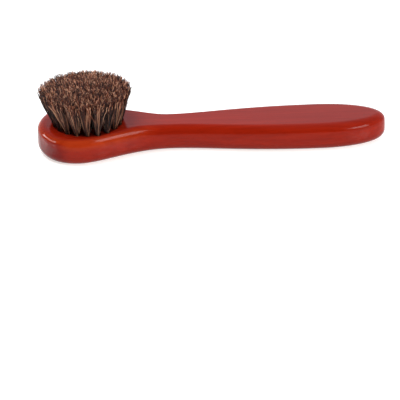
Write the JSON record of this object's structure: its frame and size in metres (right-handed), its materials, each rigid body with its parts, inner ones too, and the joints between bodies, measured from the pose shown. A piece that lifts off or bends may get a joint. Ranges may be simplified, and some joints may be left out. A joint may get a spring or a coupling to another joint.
{
  "type": "shoe shine brush",
  "caption": "Lacquered wooden shoe polish brush with a round head of horsehair tufts, a slim neck and a paddle grip, lying on its flat back.",
  "frame": {"origin": "on the flat back of the head, under the middle of the bristle field", "axes": "+X along the brush from the head to the end of the grip, +Z from the back towards the bristle tips, +Y across the brush"},
  "size_m": [0.1755, 0.044, 0.034],
  "materials": {
    "lacquered_wood": "stained red-brown under a thick clear gloss lacquer",
    "bristle": "brown horsehair, satin, with lighter and darker hairs mixed",
    "wire": "flat drawn steel wire, hidden in the holes"
  },
  "bodies": {
    "root": {"handle": "lacquered_wood", "tuft_outer_01": "bristle", "tuft_outer_02": "bristle", "tuft_outer_03": "bristle", "tuft_outer_04": "bristle", "tuft_outer_05": "bristle", "tuft_outer_06": "bristle", "tuft_outer_07": "bristle", "tuft_outer_08": "bristle", "tuft_outer_09": "bristle", "tuft_outer_10": "bristle", "tuft_outer_11": "bristle", "tuft_outer_12": "bristle", "tuft_outer_13": "bristle", "tuft_outer_14": "bristle", "tuft_outer_15": "bristle", "tuft_outer_16": "bristle", "tuft_outer_17": "bristle", "tuft_outer_18": "bristle", "tuft_outer_19": "bristle", "tuft_outer_20": "bristle", "tuft_second_01": "bristle", "tuft_second_02": "bristle", "tuft_second_03": "bristle", "tuft_second_04": "bristle", "tuft_second_05": "bristle", "tuft_second_06": "bristle", "tuft_second_07": "bristle", "tuft_second_08": "bristle", "tuft_second_09": "bristle", "tuft_second_10": "bristle", "tuft_second_11": "bristle", "tuft_second_12": "bristle", "tuft_second_13": "bristle", "tuft_second_14": "bristle", "tuft_third_01": "bristle", "tuft_third_02": "bristle", "tuft_third_03": "bristle", "tuft_third_04": "bristle", "tuft_third_05": "bristle", "tuft_third_06": "bristle", "tuft_third_07": "bristle", "tuft_third_08": "bristle", "tuft_third_09": "bristle", "tuft_inner_01": "bristle", "tuft_inner_02": "bristle", "tuft_inner_03": "bristle", "anchors_inner": "wire", "anchors_outer": "wire", "anchors_second": "wire", "anchors_third": "wire"}
  },
  "joints": []
}
